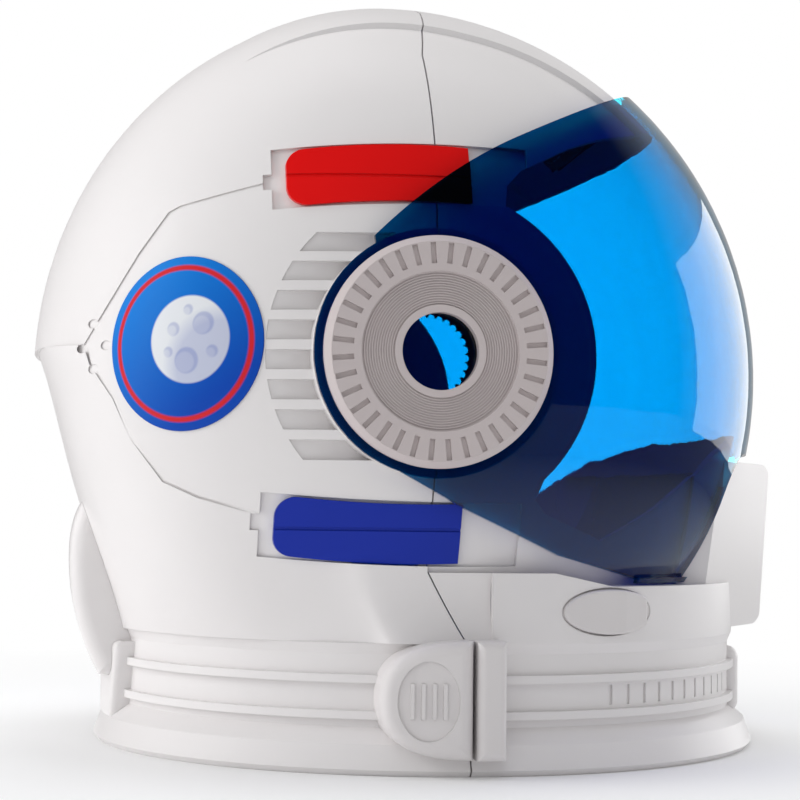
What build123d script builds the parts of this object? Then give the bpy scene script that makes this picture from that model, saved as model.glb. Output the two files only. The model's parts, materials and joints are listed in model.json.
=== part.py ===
from build123d import *
from functools import cache
import math
import os

# Toy astronaut helmet: two moulded shells on a neck ring and a tinted visor that swings up.
# It is drawn with the neck ring's centre at x = 0 and its foot at z = 0, nose along +X, and every
# piece is moved by base_x when it is saved, so that the helmet's box is centred on the origin.

os.makedirs("parts", exist_ok=True)

# Reach of the whole helmet
rear_reach = 152.3
front_reach = 132.8
base_x = (rear_reach - front_reach) / 2

# Axis that the visor turns on
pivot_x = -21.5
pivot_z = 138.0

# Walls, gaps and cutting allowance
wall = 3.0
seam_gap = 0.5
seat_gap = 0.05
screw_gap = 0.05
overrun = 2.0
reach = 180.0

# Dome: a rounded body turned about the visor axis, drawn in behind it
dome_radius = 141.3
dome_half_width = 129.0
dome_power = 2.2
dome_steps = 16

# Raised strip over the crown
crown_rise = 1.8
crown_rear_reach = 124.5
crown_rear_half = 57.0
crown_front_half = 74.0
crown_rear_angle = 138
crown_front_angle = 30

# Lower body, from the collar up to the crease at the back
body_radius = 119.5
ledge_z = 66.0
nose_ledge_z = 61.5
nose_ledge_x = 44.0
ledge_slope_x = 22.0
crease_z = 149.0

# Neck ring
ring_radius = 118.0
ridge_radius = 120.2
ridge_width = 2.8
low_ridge_top = 20.3
high_ridge_top = 32.2
collar_round = 3.5
foot_radius = 127.0
foot_lip = 2.0
foot_rise = 15.0
foot_shoulder_radius = 124.3
foot_shoulder_z = 10.0
bore_radius = 114.5

# Ear: block inside the shell, drum outside it and the sleeve that carries the bush
ear_radius = 58.5
ear_floor = 114.5
drum_radius = 41.0
drum_face = 127.8
drum_plate = 4.6
drum_pocket_radius = 38.0
sleeve_wall = 3.5

# Hub bush in the sleeve
bush_wall = 3.0
bush_flange_radius = 33.5
bush_flange = 2.3

# Visor
visor_radius = 147.2
visor_half_width = 134.3
visor_wall = 2.0
visor_face = 130.5
visor_hub_radius = 41.0
notch_half_width = 77.0
notch_top_z = 109.3
notch_round = 14.0
notch_gap = 0.8
flange_depth = 3.0
flange_wall = 1.6
tab_back = 57.0
tab_front = 84.0
tab_foot_z = 62.1
tab_top_z = 64.0
tab_reach = 1.4
journal_radius = 21.0
journal_bore = 16.4
journal_gap = 0.08

# Ear dial
dial_radius = 38.1
dial_face = 134.5
dial_bevel = 2.2
dial_hole = 12.7
dial_lip_radius = 15.2
dial_lip_drop = 0.5
groove_radius = 26.1
groove_count = 13
groove_depth = 0.45
dial_floor_drop = 1.0
slot_inner = 28.7
slot_outer = 35.5
slot_width = 1.7
slot_depth = 1.2
slot_count = 36

# Retaining ring behind the shell, and its screws
ring_gap = 0.6
ring_thickness = 3.0
ring_outer = 27.0
scallop_inner = 13.4
scallop_radius = 1.3
scallop_count = 30
click_count = 36
click_radius = 1.1
hub_screw_count = 3
hub_screw_radius = 1.1
hub_screw_head = 1.9
hub_screw_head_height = 1.2
hub_screw_length = 8.0

# Click spring that bears on the retaining ring
spring_gap = 0.35
spring_inner = 29.6
spring_wall = 1.2
spring_turn = 56
spring_foot_turn = 14
spring_nose = 1.6

# Bumper pads on the sides
pad_inner = 50.4
pad_height = 20.2
pad_back = 48.6
pad_front = 12.3
pad_droop = 2.4
pad_rise = 0.8
pad_round = 6.5
pad_groove = 1.1
pad_groove_depth = 0.5
blue_pad_share = 0.978
blue_pad_shift = -2.3
channel_depth = 1.5
channel_margin = 0.7
channel_back = 3.9
channel_front = 20.0
tongue_back = 7.4
tongue_low = 4.0
tongue_height = 5.4

# Vents behind the ear hub
vent_outer = 55.5
vent_count = 8
vent_pitch = 9.77
vent_rise = 1.9
slat_width = 3.3
vent_floor = 119.3
vent_margin = 1.5

# Side panel line and its rivet marks
panel_line_width = 0.7
panel_line_depth = 0.45
rivet_radius = 1.6

# Round badge
badge_radius = 29.2
badge_gap = 0.15
badge_thickness = 0.3
badge_x = -80.4
badge_out = 103.0
badge_z = 2.9
badge_turn = 44

# Snout
snout_top_z = 106.3
snout_foot_z = 44.5
snout_root_x = 78.0
snout_front_top = 29.5
snout_front_foot = 18.5
snout_root_top = 98.5
snout_root_foot = 87.5
snout_round = 7.0

# Chin knob
knob_turn = 69.2
knob_z = 53.0
knob_length = 37.6
knob_height = 16.4
knob_recess = 2.0
knob_margin = 0.6
knob_rise = 3.0
knob_tail = 1.6
knob_facet = 4.9
knob_nose = 14.8
knob_fall = 0.9
knob_round = 0.8

# Side latch
latch_radius = 133.8
latch_seam_x = -8.2
latch_z = 25.0
latch_half_height = 19.2
latch_length = 29.8
latch_slit = 1.0
keeper_length = 9.6
latch_round = 4.5
keeper_round = 2.6
grip_recess = 0.8
grip_rib_count = 4
grip_rib_pitch = 3.5
grip_rib_width = 1.3
grip_rib_height = 11.5

# Neck ring details
rib_radius = 124.6
rib_top_half = 33.0
rib_foot_half = 26.0
rib_top_z = 38.0
rib_foot_z = 9.0
rib_round = 2.4
boss_turn = 20
boss_radius = 4.2
boss_top_z = 37.0
boss_foot_z = 12.0
boss_reach = 122.0
tick_count = 11
tick_first = 30.6
tick_step = 3.77
tick_width = 1.3
tick_depth = 0.8
tick_low = 21.6
tick_high = 28.2

# Rear cover on the back of the neck
cover_half = 28.0
cover_round = 6.0
cover_inner_x = 100.0

# Foam pads inside
foam_gap = 0.3
crown_foam = 16.0
crown_foam_half_width = 40.0
crown_foam_turns = (68, 122)
brow_foam = 10.0
brow_foam_half_width = 42.0
brow_foam_turns = (47, 63)
nape_foam = 13.0
nape_foam_half_width = 48.0
nape_foam_turns = (148, 174)
side_foam = 11.0
side_foam_length = 34.0
side_foam_height = 58.0
side_foam_x = -82.0

# Straps that join the shells inside
strap_half_length = 11.0
strap_half_width = 7.0
strap_wall = 2.4
strap_z = 26.0

# Outlines seen from the side, as shares of the dome's radius from the visor axis
seam_shares = (
    (0.053, 1.069), (0.051, 0.943), (0.011, 0.768), (0.008, 0.505), (0.0, 0.292),
    (0.0, -0.510), (0.086, -0.666), (0.093, -0.991),
)
panel_shares = (
    (-0.800, 0.029), (-0.785, -0.017), (-0.729, -0.104), (-0.689, -0.197), (-0.611, -0.302),
    (-0.532, -0.339), (-0.403, -0.375),
)
panel_upper_shares = (
    (-0.394, 0.400), (-0.583, 0.354), (-0.608, 0.341), (-0.675, 0.244), (-0.800, 0.029),
)
rivet_shares = ((-0.780, 0.081), (-0.806, 0.022), (-0.750, 0.025), (-0.778, -0.030))
opening_upper_shares = (
    (0.180, 0.408), (0.220, 0.451), (0.277, 0.481), (0.364, 0.528), (0.462, 0.567),
    (0.533, 0.588), (0.775, 0.676), (1.17, 0.82),
)
opening_lower_shares = (
    (1.17, -0.150), (0.93, -0.150), (0.80, -0.200), (0.583, -0.352), (0.437, -0.430),
    (0.279, -0.369), (0.250, -0.335),
)
opening_arc_share = 0.394
opening_arc_angles = (-47, 8, 64)

# Edges of the visor seen from the side, as shares of its radius from the visor axis
visor_top_shares = ((-0.146, 0.256), (0.024, 0.403), (0.209, 0.517), (0.853, 0.851))
visor_foot_shares = ((0.531, -0.507), (0.302, -0.449), (0.071, -0.348), (-0.082, -0.267))

# Lower body: height as shares of the visor axis's, reach of the rear reach, width of the dome's
section_height_shares = (0.308, 0.652, 0.797, 0.928, 1.08)
section_reach_shares = (0.794, 0.883, 0.922, 0.954, 1.0)
section_width_shares = (0.926, 0.957, 0.987, 0.994, 0.996)
section_powers = (2.0, 2.7, 2.72, 2.7, 2.55)
section_steps = 10

# Rear cover's outline: reach as shares of the rear reach, height of the visor axis's
cover_shares = (
    (0.70, 0.655), (0.872, 0.650), (0.894, 0.590), (0.902, 0.480), (0.890, 0.362),
    (0.870, 0.285), (0.828, 0.185), (0.70, 0.160),
)

# Places that follow from the sizes above
dome_rear = rear_reach + pivot_x
collar_z = pivot_z * section_height_shares[0]
bush_radius = journal_radius + journal_gap + bush_wall
sleeve_radius = bush_radius + seat_gap + sleeve_wall
journal_end = ear_floor - bush_flange - ring_gap
ring_back = journal_end - ring_thickness
visor_inner_face = visor_face - visor_wall


def power_point(angle, along, across, power):
    """A point of a rounded outline with the given half lengths."""
    first = math.copysign(abs(math.cos(angle)) ** (2 / power), math.cos(angle))
    second = math.copysign(abs(math.sin(angle)) ** (2 / power), math.sin(angle))
    return along * first, across * second


def from_pivot(shares, radius=dome_radius):
    """Side view places, given as shares of a radius from the visor axis."""
    return [(pivot_x + x * radius, pivot_z + z * radius) for x, z in shares]


def side_prism(outline, near=-reach, far=reach):
    """A closed side view outline carried straight across the helmet."""
    corners = [(x, near, z) for x, z in outline]
    face = make_face(Polyline(*corners, close=True))
    return extrude(face, amount=far - near, dir=(0, 1, 0))


def block(low, high):
    """A box between two corners."""
    size = [b - a for a, b in zip(low, high)]
    centre = [(a + b) / 2 for a, b in zip(low, high)]
    return Pos(*centre) * Box(*size)


def barrel(radius, near, far, x=pivot_x, z=pivot_z):
    """A cylinder on the right of the helmet, between two distances from its middle plane."""
    return Pos(x, -(near + far) / 2, z) * Rot(90, 0, 0) * Cylinder(radius, abs(far - near))


def pillar(radius, low, high):
    """A cylinder about the neck ring's axis."""
    return Pos(0, 0, (low + high) / 2) * Cylinder(radius, high - low)


def both(piece):
    """A right-hand form with its mirror image."""
    return piece + mirror(piece, Plane.XZ)


@cache
def turned_body(radius, half_width, rear):
    """A body turned about the visor axis and drawn in behind it to the given reach."""
    points = []
    for step in range(dome_steps + 1):
        angle = math.pi * (1 - step / dome_steps)
        across, out = power_point(angle, half_width, radius, dome_power)
        points.append((0, across, abs(out)))
    rim = Spline(*points, tangents=((0, 0, 1), (0, 0, -1)))
    face = make_face([rim, Line(points[-1], points[0])])
    whole = revolve(face, Axis((0, 0, 0), (0, 1, 0)), 360)
    front = whole & block((0, -reach, -reach), (reach, reach, reach))
    back = whole & block((-reach, -reach, -reach), (0, reach, reach))
    back = scale(back, by=(rear / radius, 1, 1))
    return Pos(pivot_x, 0, pivot_z) * (front + back)


def dome(grow=0.0):
    return turned_body(dome_radius + grow, dome_half_width + grow, dome_rear + grow)


def turned_visor(inset):
    radius = visor_radius - inset
    return turned_body(radius, visor_half_width - inset, radius)


def wedge(first_turn, last_turn, lift=0.0):
    """Side view sector between two directions from the visor axis."""
    points = [(pivot_x, pivot_z + lift)]
    for part in range(3):
        turn = math.radians(first_turn + (last_turn - first_turn) * part / 2)
        points.append((pivot_x + 2 * reach * math.cos(turn), pivot_z + 2 * reach * math.sin(turn)))
    return side_prism(points)


def crown_strip(grow=0.0):
    """The raised strip over the crown, tapering towards the back."""
    rise = crown_rise + grow
    body = turned_body(dome_radius + rise, dome_half_width + rise, crown_rear_reach + grow)
    back = crown_rear_half + grow
    front = crown_front_half + grow
    plan = [
        (-reach, -back), (0, -front), (reach, -front), (reach, front), (0, front), (-reach, back),
    ]
    outline = make_face(Polyline(*[(x, y, 0) for x, y in plan], close=True))
    slab = extrude(outline, amount=2 * reach)
    return body & slab & wedge(crown_front_angle, crown_rear_angle, grow)


def section_face(height, back, half_width, power):
    """Half outline of the lower body at one height, behind the ring's centre."""
    points = []
    for step in range(section_steps + 1):
        angle = math.pi / 2 + math.pi * step / section_steps
        x, y = power_point(angle, back, half_width, power)
        points.append((x, y, height))
    curve = Spline(*points, tangents=((-1, 0, 0), (1, 0, 0)))
    return make_face([curve, Line(points[-1], points[0])])


def lower_back(grow=0.0):
    """Back half of the lower body, from the collar up to the crease."""
    rows = zip(section_height_shares, section_reach_shares, section_width_shares, section_powers)
    faces = []
    for height_share, reach_share, width_share, power in rows:
        faces.append(section_face(
            pivot_z * height_share,
            rear_reach * reach_share + grow,
            dome_half_width * width_share + grow,
            power,
        ))
    return loft(faces)


def lower_region(grow=0.0):
    """Side view region that the lower body fills: below the panel line and behind the seam."""
    seam_x = pivot_x + grow
    ledge = ledge_z + grow
    line = from_pivot(panel_shares)
    outline = [(-reach, crease_z)] + line + [
        (seam_x, line[-1][1]), (seam_x, ledge), (0, ledge), (0, -reach), (-reach, -reach)
    ]
    return side_prism(outline)


def lower_front(grow=0.0):
    """Front half of the collar, with the ledge that the visor closes over, lower at the nose."""
    high = ledge_z + grow
    low = nose_ledge_z + grow
    band = pillar(body_radius + grow, collar_z, high)
    band = band & block((0, -reach, 0), (reach, reach, reach))
    return band - side_prism([
        (ledge_slope_x, high), (nose_ledge_x, low), (reach, low), (reach, reach),
        (ledge_slope_x, reach),
    ])


def snout(grow=0.0):
    """Blunt wedge under the visor's notch."""
    faces = []
    ends = (
        (snout_root_x, snout_root_top, snout_root_foot),
        (front_reach + grow, snout_front_top, snout_front_foot),
    )
    for x, top, foot in ends:
        corners = [
            (x, -top - grow, snout_top_z + grow), (x, top + grow, snout_top_z + grow),
            (x, foot + grow, snout_foot_z - grow), (x, -foot - grow, snout_foot_z - grow),
        ]
        faces.append(make_face(Polyline(*corners, close=True)))
    return loft(faces, ruled=True)


def snout_room(grow=0.0):
    """Where the snout may be: inside the closed visor, between its cheeks and below its foot."""
    notch = notch_half_width - notch_gap + grow
    between = block((0, -notch, 0), (reach, notch, reach))
    below = block((0, -reach, 0), (reach, reach, nose_ledge_z + grow))
    return turned_visor(visor_wall + overrun - grow) + between + below


def rounded_snout():
    """The snout with its front edges softened, clear of the closed visor."""
    body = snout()
    edges = body.edges().filter_by(lambda edge: edge.center().X > front_reach - snout_round)
    return fillet(edges, snout_round) & snout_room()


def body_core(grow=0.0):
    """Dome and lower body without the raised strip, the snout and the neck ring."""
    region = lower_region(min(grow, 0))
    return (dome(grow) - region) + (lower_back(grow) & region) + lower_front(grow)


def neck_ring():
    """The ring under the collar: two ridges, a plain wall between them and a spreading foot."""
    profile = [
        (bore_radius - overrun, 0),
        (foot_radius - foot_lip, 0),
        (foot_radius, foot_lip),
        (foot_shoulder_radius, foot_shoulder_z),
        (ring_radius, foot_rise),
        (ring_radius, low_ridge_top - ridge_width),
        (ridge_radius, low_ridge_top - ridge_width),
        (ridge_radius, low_ridge_top),
        (ring_radius, low_ridge_top),
        (ring_radius, high_ridge_top - ridge_width),
        (ridge_radius, high_ridge_top - ridge_width),
        (ridge_radius, high_ridge_top),
        (ring_radius, high_ridge_top),
        (ring_radius, collar_z - collar_round),
        (body_radius, collar_z),
        (bore_radius - overrun, collar_z + overrun),
    ]
    face = make_face(Polyline(*[(r, 0, z) for r, z in profile], close=True))
    return revolve(face, Axis.Z, 360)


def rear_rib():
    """Broad upright boss on the back of the neck ring."""
    corners = [
        (0, -rib_top_half, rib_top_z), (0, rib_top_half, rib_top_z),
        (0, rib_foot_half, rib_foot_z), (0, -rib_foot_half, rib_foot_z),
    ]
    face = make_face(Polyline(*corners, close=True))
    body = extrude(face, amount=reach, dir=(-1, 0, 0)) & pillar(rib_radius, 0, 2 * rib_top_z)
    body = body - pillar(bore_radius, 0, 2 * rib_top_z)
    outer = body.edges().filter_by(
        lambda edge: math.hypot(edge.center().X, edge.center().Y) > ridge_radius
    )
    return fillet(outer, rib_round)


def front_boss():
    """Small upright boss beside the front of the neck ring."""
    out = boss_reach - boss_radius
    shaft = Pos(out, 0, (boss_top_z + boss_foot_z) / 2) * Cylinder(
        boss_radius, boss_top_z - boss_foot_z - 2 * boss_radius
    )
    for z in (boss_top_z - boss_radius, boss_foot_z + boss_radius):
        shaft += Pos(out, 0, z) * Sphere(boss_radius)
    return Rot(0, 0, -boss_turn) * shaft


def tick_grooves():
    """Row of short upright grooves between the ridges at the front."""
    groove = block(
        (ring_radius - tick_depth, -tick_width / 2, tick_low),
        (ring_radius + overrun, tick_width / 2, tick_high),
    )
    return [Rot(0, 0, -tick_first - index * tick_step) * groove for index in range(tick_count)]


def opening_prism():
    """Side view outline of the face opening, carried across the helmet."""
    upper = [(x, -reach, z) for x, z in from_pivot(opening_upper_shares)]
    lower = [(x, -reach, z) for x, z in from_pivot(opening_lower_shares)]
    radius = dome_radius * opening_arc_share
    arc = []
    for angle in opening_arc_angles:
        turn = math.radians(angle)
        arc.append((
            pivot_x + radius * math.cos(turn), -reach, pivot_z + radius * math.sin(turn)
        ))
    edges = [ThreePointArc(*arc), Polyline(arc[-1], *upper, *lower, arc[0])]
    return extrude(make_face(edges), amount=2 * reach, dir=(0, 1, 0))


def seam_prism(front):
    """Side view region of the front or the rear half, split along the seam."""
    shift = seam_gap / 2 if front else -seam_gap / 2
    line = [(x + shift, z) for x, z in from_pivot(seam_shares)]
    edge = reach if front else -reach
    return side_prism([(edge, line[0][1])] + line + [(edge, line[-1][1])])


def ear_cuts():
    """What is taken out of the shells on the right: bore, pocket behind the drum and vents."""
    bore = barrel(bush_radius + seat_gap, 0, reach)
    pocket = barrel(drum_pocket_radius, 0, drum_face - drum_plate) - barrel(sleeve_radius, 0, reach)
    ring = barrel(vent_outer, 0, reach) - barrel(drum_radius, 0, reach)
    floor = block((-reach, -vent_floor, 0), (reach, 0, 2 * reach))
    cuts = [bore, pocket]
    for index in range(vent_count):
        middle = pivot_z + vent_rise + (index - (vent_count - 1) / 2) * vent_pitch
        half = (vent_pitch - slat_width) / 2
        rows = block((-reach, -reach, middle - half), (pivot_x - vent_margin, 0, middle + half))
        cuts.append((ring & rows) - floor)
    return cuts


def pad_edges(up, margin=0.0, back=0.0, front=0.0):
    """Side view outline of a bumper pad, gently arched, above or below the visor axis."""
    share = 1 if up else blue_pad_share
    sign = 1 if up else -1
    low = pad_inner * share - margin
    high = (pad_inner + pad_height) * share + margin
    rear = -pad_back - margin - back
    nose = pad_front + margin + front
    middle = (rear + nose) / 2
    places = [
        (nose, low), (middle, low), (rear, low - pad_droop),
        (rear, high - pad_droop), (middle, high), (nose, high),
    ]
    start = pivot_x if up else pivot_x + blue_pad_shift
    points = [(start + x, -reach, pivot_z + sign * z) for x, z in places]
    return [
        ThreePointArc(*points[0:3]), Line(points[2], points[3]),
        ThreePointArc(*points[3:6]), Line(points[5], points[0]),
    ]


def right_prism(edges):
    """A side view outline carried from the right side to the middle of the helmet."""
    return extrude(make_face(edges), amount=reach, dir=(0, 1, 0))


def pad_channel(up):
    """Sunken bed of a bumper pad, with the tongue behind it."""
    bed = right_prism(pad_edges(up, channel_margin, channel_back, channel_front))
    share = 1 if up else blue_pad_share
    sign = 1 if up else -1
    middle = (pad_inner + tongue_low) * share + tongue_height / 2
    start = pivot_x - pad_back if up else pivot_x - pad_back + blue_pad_shift
    tongue = block(
        (start - tongue_back, -reach, pivot_z + sign * middle - tongue_height / 2),
        (start, 0, pivot_z + sign * middle + tongue_height / 2),
    )
    return bed + tongue


def bumper_pad(up, top, floor):
    """Bumper pad lying in its bed, and the crease along its middle."""
    prism = right_prism(pad_edges(up))
    rear = prism.edges().filter_by(Axis.Y).sort_by(Axis.X)[:2]
    body = fillet(rear, pad_round) & top
    share = 1 if up else blue_pad_share
    sign = 1 if up else -1
    middle = pivot_z + sign * ((pad_inner + pad_height / 2) * share - pad_droop / 2)
    crease = block(
        (-reach, -reach, middle - pad_groove / 2), (reach, 0, middle + pad_groove / 2)
    )
    return body - floor, crease


def groove_band(line):
    """Thin upright band that follows a side view line."""
    band = Part()
    for (x0, z0), (x1, z1) in zip(line, line[1:]):
        length = math.hypot(x1 - x0, z1 - z0) + panel_line_width
        turn = math.degrees(math.atan2(z1 - z0, x1 - x0))
        bar = Box(length, reach, panel_line_width)
        band += Pos((x0 + x1) / 2, -reach / 2, (z0 + z1) / 2) * Rot(0, -turn, 0) * bar
    return band


def surface_marks():
    """Panel lines and rivet marks of the right side, as shallow cuts."""
    marks = groove_band(from_pivot(panel_shares)) + groove_band(from_pivot(panel_upper_shares))
    for x, z in from_pivot(rivet_shares):
        marks += barrel(rivet_radius, 0, reach, x, z)
    return marks - dome(-panel_line_depth)


def knob_outline(margin):
    """Oval of the chin knob, standing in the YZ plane."""
    plane = Plane(origin=(0, 0, 0), x_dir=(0, 1, 0), z_dir=(1, 0, 0))
    oval = Ellipse(knob_length / 2 - margin, knob_height / 2 - margin)
    return plane * oval.face()


def knob_place(out):
    return Rot(0, 0, -knob_turn) * Pos(out, 0, knob_z)


def chin_knob():
    """Knob in its oval recess: it rises from its tail to a facet and ends square at its nose."""
    height = knob_recess + knob_rise
    oval = extrude(knob_outline(knob_margin), amount=height, dir=(1, 0, 0))
    low = -knob_height
    profile = [
        (0, -knob_length, low), (knob_tail, -knob_length / 2, low), (height, knob_facet, low),
        (height - knob_fall, knob_nose, low), (0, knob_nose, low),
    ]
    side = extrude(make_face(Polyline(*profile, close=True)), amount=2 * knob_height, dir=(0, 0, 1))
    body = oval & side
    outer = body.edges().filter_by(lambda edge: edge.center().X > knob_tail)
    return knob_place(body_radius - knob_recess) * fillet(outer, knob_round)


def knob_recess_cut():
    body = extrude(knob_outline(0), amount=reach, dir=(1, 0, 0))
    return knob_place(body_radius - knob_recess) * body


def latch_prism(grip):
    """Side view outline of the latch's grip or of its keeper."""
    low = latch_z - latch_half_height
    high = latch_z + latch_half_height
    if grip:
        edge = latch_seam_x - latch_slit / 2
        corners = [(edge, -reach, low), (edge, -reach, high)]
        tip = (edge - latch_length, -reach, latch_z)
        curve = Spline(corners[1], tip, corners[0], tangents=((-1, 0, 0), (1, 0, 0)))
        return extrude(make_face([curve, Line(*corners)]), amount=reach, dir=(0, 1, 0))
    edge = latch_seam_x + latch_slit / 2
    return block((edge, -reach, low), (edge + keeper_length, 0, high))


def latch_piece(grip, shell):
    """One half of the side latch, seated on the neck ring."""
    body = latch_prism(grip) & pillar(latch_radius, 0, collar_z + latch_half_height)
    outer = body.edges().filter_by(
        lambda edge: math.hypot(edge.center().X, edge.center().Y) > latch_radius - overrun
    )
    body = fillet(outer, latch_round if grip else keeper_round) - shell
    if grip:
        body = body - grip_face() + grip_ribs()
    return body.solids().sort_by(lambda solid: solid.volume)[-1]


def grip_middle():
    return latch_seam_x - latch_slit / 2 - latch_length / 2


def grip_face():
    """Shallow face on the grip that the ribs stand in."""
    plane = Plane((grip_middle(), -reach, latch_z), x_dir=(1, 0, 0), z_dir=(0, 1, 0))
    oval = plane * Ellipse(latch_length / 3, latch_half_height * 2 / 3).face()
    prism = extrude(oval, amount=reach, dir=(0, 1, 0))
    return prism - pillar(latch_radius - grip_recess, 0, 2 * collar_z)


def grip_ribs():
    """Upright ribs on the grip."""
    ribs = Part()
    for index in range(grip_rib_count):
        x = grip_middle() + (index - (grip_rib_count - 1) / 2) * grip_rib_pitch
        ribs += block(
            (x - grip_rib_width / 2, -reach, latch_z - grip_rib_height / 2),
            (x + grip_rib_width / 2, 0, latch_z + grip_rib_height / 2),
        )
    rim = pillar(latch_radius, 0, 2 * collar_z)
    return ribs & (rim - pillar(latch_radius - 2 * grip_recess, 0, 2 * collar_z))


def rear_cover(shell_filled):
    """Hump on the back of the neck, flat on its sides and rounded over its rim."""
    outline = [(-x * rear_reach, -cover_half, z * pivot_z) for x, z in cover_shares]
    top = Spline(*outline[1:-1])
    rim = Polyline(outline[-2], outline[-1], outline[0], outline[1])
    body = extrude(make_face([top, rim]), amount=2 * cover_half, dir=(0, 1, 0))
    edges = body.edges().filter_by(lambda edge: edge.center().X < -cover_inner_x - 2 * cover_round)
    sides = edges.filter_by(lambda edge: abs(edge.center().Y) > cover_half / 2)
    body = fillet(sides, cover_round) - shell_filled
    return body.solids().sort_by(lambda solid: solid.volume)[-1]


def visor():
    """Tinted visor: lens shell with a notch over the snout, a hub disc and a journal each side."""
    top = [(x, -reach, z) for x, z in from_pivot(visor_top_shares, visor_radius)]
    foot = [(x, -reach, z) for x, z in from_pivot(visor_foot_shares, visor_radius)]
    ahead = [(reach, -reach, top[-1][2]), (reach, -reach, foot[0][2])]
    edges = [ThreePointArc(*top[:3]), Polyline(*top[2:], *ahead, *foot, top[0])]
    outline = extrude(make_face(edges), amount=2 * reach, dir=(0, 1, 0))
    hub = both(barrel(visor_hub_radius, 0, visor_face))
    field = (outline + hub) & block((-reach, -visor_face, 0), (reach, visor_face, 2 * reach))
    outer = turned_visor(0)
    notch = block((pivot_x, -notch_half_width, 0), (reach, notch_half_width, notch_top_z))
    notch = fillet(notch.edges().filter_by(Axis.X).sort_by(Axis.Z)[-2:], notch_round)
    plate = (outer - turned_visor(visor_wall)) & field
    deep = outer - turned_visor(flange_depth)
    low = block((pivot_x, -reach, 0), (reach, reach, pivot_z - visor_hub_radius))
    band = deep & (field - Pos(-flange_wall, 0, flange_wall) * outline) & low
    cheek = notch_half_width + flange_wall
    band = band + (deep & outline & low & block((pivot_x, -cheek, 0), (reach, cheek, reach)))
    tab = block((tab_back, -reach, tab_foot_z), (tab_front, reach, tab_top_z))
    band = band + (tab & (turned_visor(-tab_reach) - turned_visor(flange_depth)))
    disc = barrel(visor_hub_radius, visor_inner_face, visor_face)
    tube = barrel(journal_radius, journal_end, visor_face) - barrel(
        journal_bore, journal_end - overrun, visor_inner_face
    )
    return plate + band - notch + both(disc + tube)


def dial_profile():
    """Half section of the ear dial: radius and distance from the helmet's middle plane."""
    points = [
        (dial_hole, visor_face),
        (dial_hole, dial_face - dial_lip_drop),
        (dial_lip_radius, dial_face - dial_lip_drop),
    ]
    floor = dial_face - dial_floor_drop
    pitch = (groove_radius - dial_lip_radius) / groove_count
    for index in range(groove_count):
        start = dial_lip_radius + index * pitch
        points.append((start, floor - groove_depth))
        points.append((start + pitch / 2, floor - groove_depth))
        points.append((start + pitch / 2, floor))
        points.append((start + pitch, floor))
    points.append((groove_radius, dial_face))
    points.append((dial_radius - dial_bevel, dial_face))
    points.append((dial_radius, dial_face - dial_bevel))
    points.append((dial_radius, visor_face))
    return points


def ear_dial():
    """Round dial glued to the visor's hub, with slots round its rim and fine rings inside."""
    points = [(pivot_x + r, -w, pivot_z) for r, w in dial_profile()]
    axis = Axis((pivot_x, 0, pivot_z), (0, 1, 0))
    body = revolve(make_face(Polyline(*points, close=True)), axis, 360)
    slot = block(
        (slot_inner, -dial_face - overrun, -slot_width / 2),
        (slot_outer, -dial_face + slot_depth, slot_width / 2),
    )
    cuts = [
        Pos(pivot_x, 0, pivot_z) * Rot(0, (index + 0.5) * 360 / slot_count, 0) * slot
        for index in range(slot_count)
    ]
    return body - cuts


def hub_bush():
    """Flanged bush held between the two shells."""
    body = barrel(bush_radius, ear_floor, drum_face) + barrel(
        bush_flange_radius, ear_floor - bush_flange, ear_floor
    )
    return body - barrel(journal_radius + journal_gap, 0, reach)


def hub_screw_places():
    """Side view places of the hub screws, in the middle of the journal's wall."""
    circle = (journal_radius + journal_bore) / 2
    places = []
    for index in range(hub_screw_count):
        angle = math.pi / 2 + 2 * math.pi * index / hub_screw_count
        places.append((pivot_x + circle * math.cos(angle), pivot_z + circle * math.sin(angle)))
    return places


def retaining_ring():
    """Ring screwed to the journal's end, scalloped inside and notched for the click spring."""
    body = barrel(ring_outer, ring_back, journal_end) - barrel(scallop_inner, 0, reach)
    cuts = []
    for index in range(scallop_count):
        angle = 2 * math.pi * index / scallop_count
        x = pivot_x + scallop_inner * math.cos(angle)
        z = pivot_z + scallop_inner * math.sin(angle)
        cuts.append(barrel(scallop_radius, 0, reach, x, z))
    for index in range(click_count):
        angle = 2 * math.pi * index / click_count
        x = pivot_x + ring_outer * math.cos(angle)
        z = pivot_z + ring_outer * math.sin(angle)
        cuts.append(barrel(click_radius, 0, reach, x, z))
    for x, z in hub_screw_places():
        cuts.append(barrel(hub_screw_radius + screw_gap, 0, reach, x, z))
    return body - cuts


def hub_screws(grow=0.0):
    """Screws of both hubs, in place, or the holes that take them."""
    screws = []
    for x, z in hub_screw_places():
        tip = ring_back + hub_screw_length + grow
        shank = barrel(hub_screw_radius + grow, ring_back, tip, x, z)
        head = barrel(hub_screw_head, ring_back - hub_screw_head_height, ring_back, x, z)
        screws.append(shank + head)
    return [both(screw) for screw in screws]


def click_spring():
    """Curved leaf on the bush's flange, with a nose that faces the ring's notches."""
    low = ring_back
    high = ear_floor - bush_flange
    band = barrel(spring_inner + spring_wall, low, high) - barrel(spring_inner, 0, reach)
    leaf = band & wedge(90 - spring_turn / 2, 90 + spring_turn / 2)
    slot = barrel(reach, high - ring_gap, high) - wedge(
        90 + spring_turn / 2 - spring_foot_turn, 90 + spring_turn / 2
    )
    nose_z = pivot_z + ring_outer + spring_gap + spring_nose
    nose = barrel(spring_nose, low, high - ring_gap, pivot_x, nose_z)
    return (leaf - slot) + nose


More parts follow.
